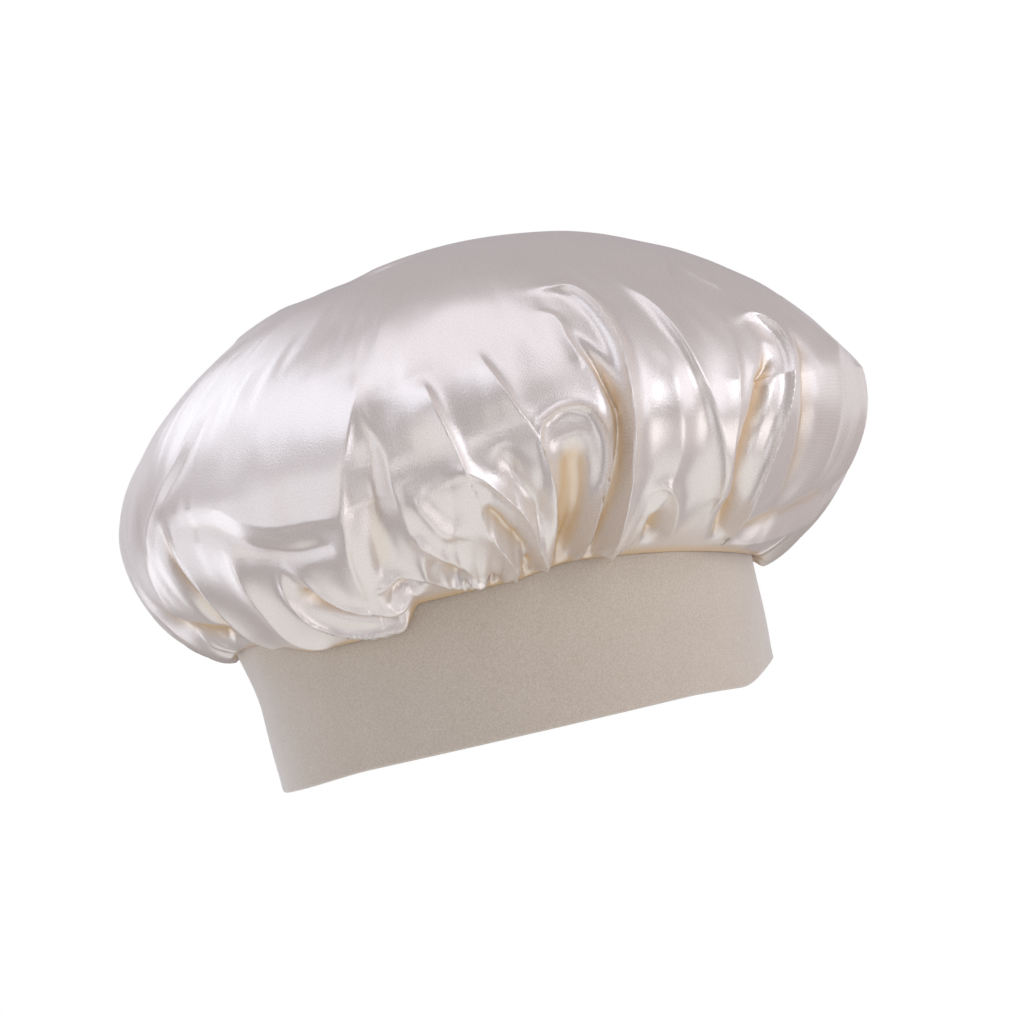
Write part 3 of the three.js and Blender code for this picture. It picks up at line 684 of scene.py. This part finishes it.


# Softboxes: name, azimuth from the camera's side towards its right and angle above the bonnet in
# degrees, width and height in metres, power in watts, colour. The powers and tints began as a fit
# to the photograph, lamp by lamp, and were then changed.
LAMPS = (
    ("left_bank", -78, -2, 1.2, 1.4, 5.0, "F6F8FF"),
    ("left_low_back", -116, -14, 0.7, 0.6, 2.2, "F6F8FF"),
    ("left_high", -72, 54, 1.0, 0.8, 3.6, "F0F4FF"),
    ("left_front", -38, 8, 0.6, 1.0, 1.8, "FFF9F2"),
    ("left_back", -130, 40, 0.8, 0.6, 2.7, "F0F5FF"),
    ("left_rim", -152, 8, 0.8, 0.8, 1.0, "F0F5FF"),
    ("overhead", 0, 84, 0.9, 0.8, 2.5, "FAF8FF"),
    ("camera_side", 0, 0, 0.8, 0.4, 1.1, "FCFFFF"),
    ("camera_low", 0, -36, 0.8, 0.5, 1.3, "FCFCFF"),
    ("right_front", 44, 14, 0.7, 0.9, 4.6, "F9F9FF"),
    ("right_high", 34, 56, 0.5, 0.5, 0.9, "F9F9FF"),
    ("right_mid", 80, 11, 0.7, 1.1, 3.6, "F9F7FF"),
    ("right_fade", 80, 43, 0.8, 0.4, 0.4, "F9F7FF"),
    ("right_side", 110, 2, 0.8, 0.8, 0.8, "F9F9FF"),
    ("right_back", 142, 2, 0.8, 0.7, 1.0, "F9F9FF"),
    ("right_low", 62, -34, 0.8, 0.6, 2.6, "FFF8F6"),
)
LAMP_DISTANCE = 1.3
LAMP_AIM = (0.01, 0.0, 0.1)
FLOOR_RADIUS, FLOOR_DROP, FLOOR_CORNERS = 0.55, 0.6, 96
ROOM_COLOUR, ROOM_STRENGTH = (0.8, 0.8, 1, 1), 0.28
WHITE = (1, 1, 1, 1)


def add_room():
    """White paper for the camera, and a dim bluish room for everything else."""
    scene = bpy.context.scene
    scene.view_settings.view_transform = "Standard"
    world = bpy.data.worlds.new("studio")
    scene.world = world
    world.use_nodes = True
    tree = world.node_tree
    tree.nodes.clear()
    room = add_node(tree, "ShaderNodeBackground", None, Color=ROOM_COLOUR, Strength=ROOM_STRENGTH)
    paper = add_node(tree, "ShaderNodeBackground", None, Color=WHITE, Strength=1.0)
    seen = add_node(tree, "ShaderNodeLightPath")
    both = add_node(tree, "ShaderNodeMixShader", None, i0=seen.outputs["Is Camera Ray"],
                    i1=room.outputs[0], i2=paper.outputs[0])
    out = add_node(tree, "ShaderNodeOutputWorld")
    tree.links.new(both.outputs[0], out.inputs["Surface"])


def add_floor():
    """A pale lit disc under the bonnet, which lights it from below."""
    around = np.linspace(0, 2 * math.pi, FLOOR_CORNERS, endpoint=False)
    ring = np.stack([FLOOR_RADIUS * np.cos(around), FLOOR_RADIUS * np.sin(around),
                     np.full_like(around, -FLOOR_DROP)], -1)
    floor = new_object("floor", ring / MM, [tuple(range(len(ring)))], False)
    material, tree = new_material("pale_floor")
    lit = add_node(tree, "ShaderNodeEmission", None, Color=WHITE, Strength=1.0)
    out = add_node(tree, "ShaderNodeOutputMaterial")
    tree.links.new(lit.outputs[0], out.inputs["Surface"])
    floor.data.materials.append(material)


def add_lamps():
    """Large soft lamps round the bonnet, each turned towards it."""
    for name, azimuth, above, width, height, watts, colour in LAMPS:
        data = bpy.data.lights.new(name, "AREA")
        data.shape = "RECTANGLE"
        data.size, data.size_y = width, height
        data.energy = watts
        data.color = hex_colour(colour)[:3]
        lamp = bpy.data.objects.new(name, data)
        bpy.context.collection.objects.link(lamp)
        turn, lift = math.radians(azimuth), math.radians(above)
        z_axis = np.array([math.sin(turn) * math.cos(lift), -math.cos(turn) * math.cos(lift), math.sin(lift)])
        x_axis = np.array([math.cos(turn), math.sin(turn), 0.0])
        matrix = np.eye(4)
        matrix[:3, 0], matrix[:3, 1], matrix[:3, 2] = x_axis, np.cross(z_axis, x_axis), z_axis
        matrix[:3, 3] = np.array(LAMP_AIM) + LAMP_DISTANCE * z_axis
        lamp.matrix_world = Matrix(matrix.tolist())


add_camera()
add_room()
add_floor()
add_lamps()

crown = add_crown()
crown.data.materials.append(champagne_satin())
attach(crown, "root")
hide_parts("crown")

band = add_band()
band.data.materials.append(beige_jersey())
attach(band, "root")
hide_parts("band")
